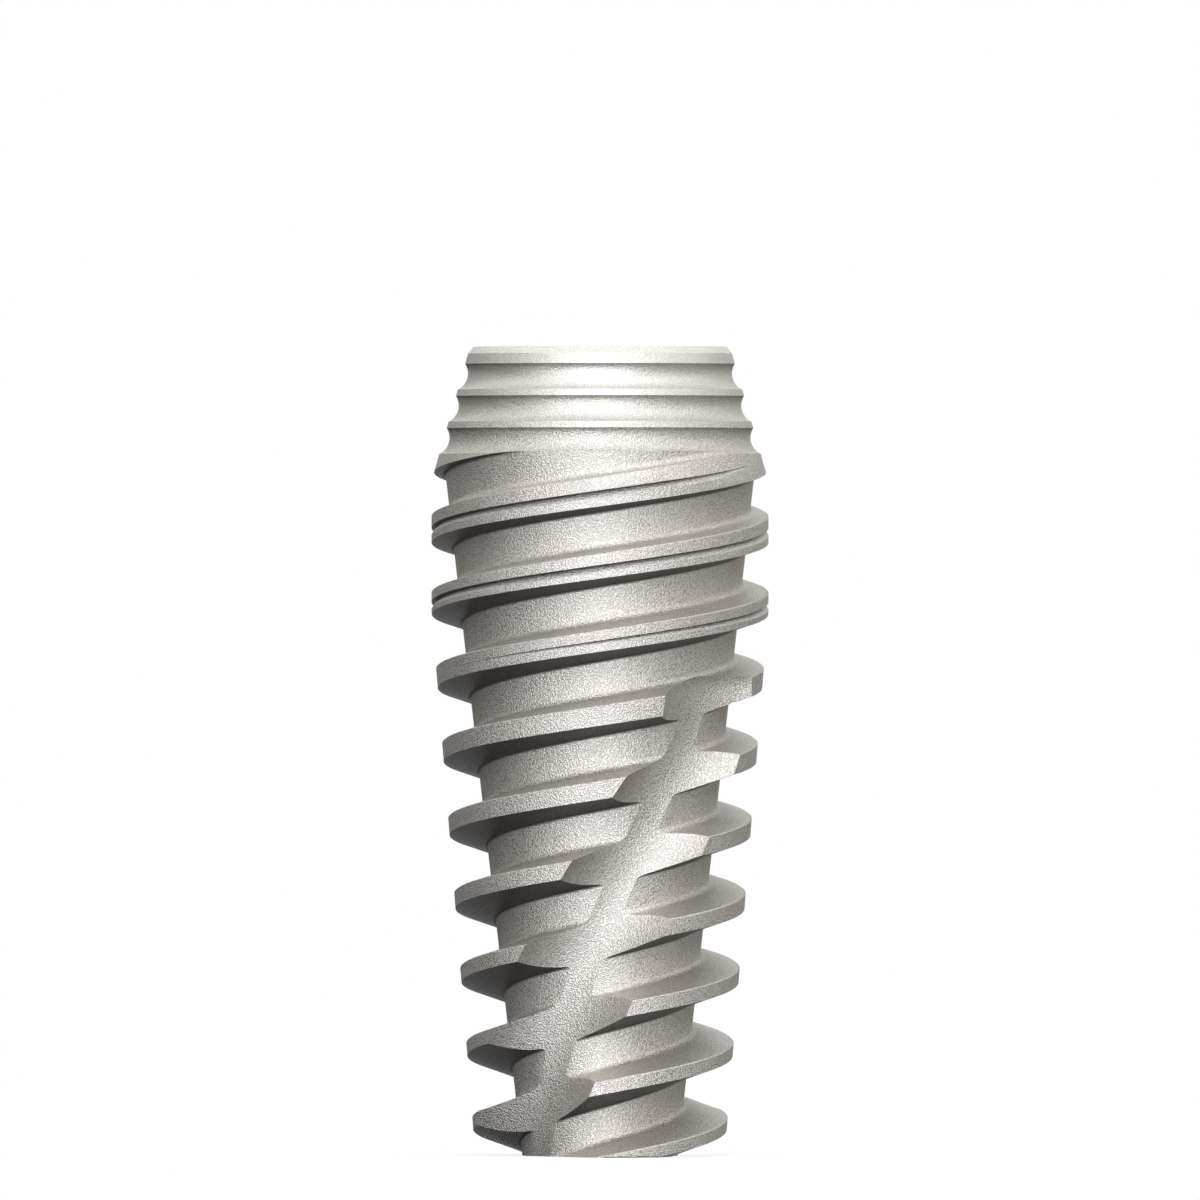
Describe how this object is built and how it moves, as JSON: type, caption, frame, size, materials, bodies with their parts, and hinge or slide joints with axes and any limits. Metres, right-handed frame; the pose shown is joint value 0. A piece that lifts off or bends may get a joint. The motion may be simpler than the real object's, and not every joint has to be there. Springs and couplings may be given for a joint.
{
  "type": "dental implant fixture",
  "caption": "Tapered titanium dental implant fixture with a grooved collar, a coarse thread with spiral cutting flutes, and an internal hexagon with a screw bore.",
  "frame": {"origin": "centre of the flat tip, which is the lowest plane of the part", "axes": "+Z along the fixture's axis, from the tip up to the platform; a crest of the thread has its middle 0.381 mm above the tip on the +X side"},
  "size_m": [0.0042, 0.0042, 0.0101],
  "materials": {
    "etched_titanium": "blasted and acid-etched titanium, fine matt grain"
  },
  "bodies": {
    "root": {"implant_body": "etched_titanium"}
  },
  "joints": []
}
